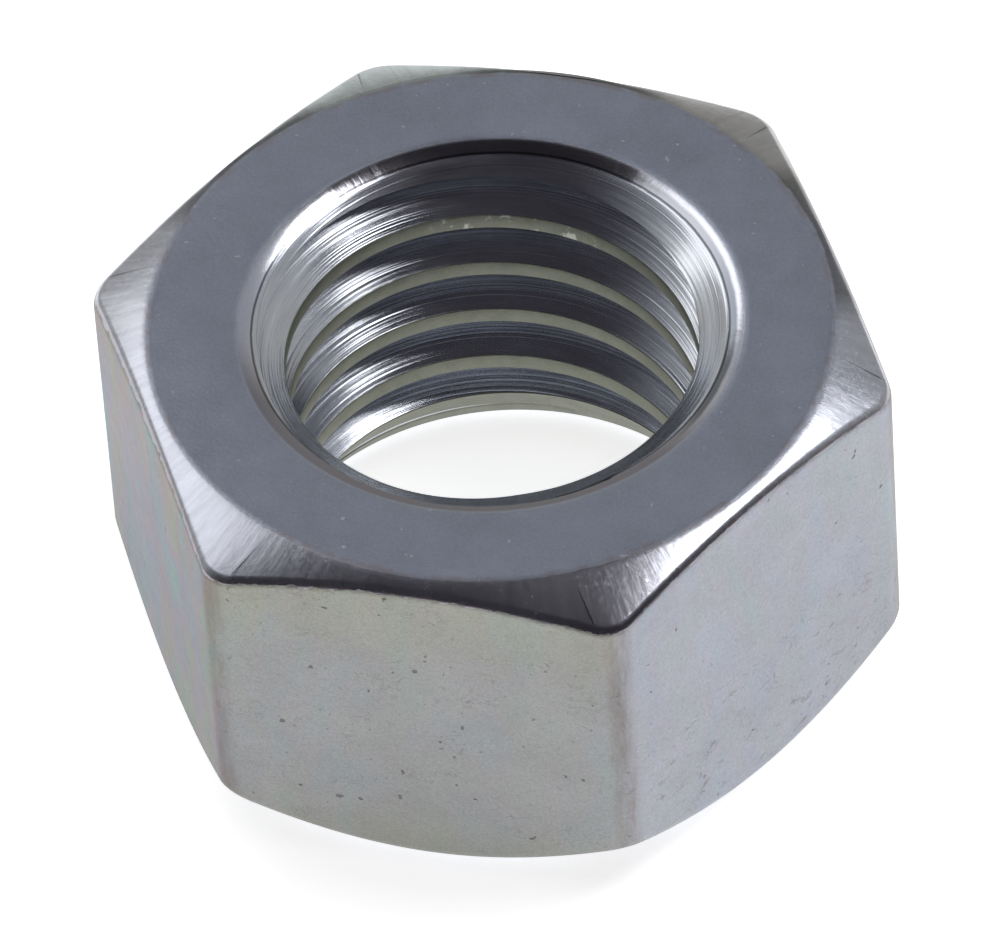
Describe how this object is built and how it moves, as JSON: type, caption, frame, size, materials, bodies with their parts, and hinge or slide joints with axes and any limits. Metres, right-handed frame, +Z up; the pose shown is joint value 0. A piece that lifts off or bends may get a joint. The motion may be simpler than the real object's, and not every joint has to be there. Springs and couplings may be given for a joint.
{
  "type": "hex nut",
  "caption": "Double-chamfered hexagon nut with a right-hand metric thread and a countersink at each end.",
  "frame": {"origin": "centre of the lower bearing face, on the thread axis", "axes": "+Z up the thread axis towards the upper bearing face; two corners lie on the X axis and two flats face +Y and -Y"},
  "size_m": [0.0204, 0.018, 0.0106],
  "materials": {
    "zinc_plated_steel": "bright zinc plate, satin flats, turned chamfers and a machined thread"
  },
  "bodies": {
    "root": {"hex_nut": "zinc_plated_steel"}
  },
  "joints": []
}
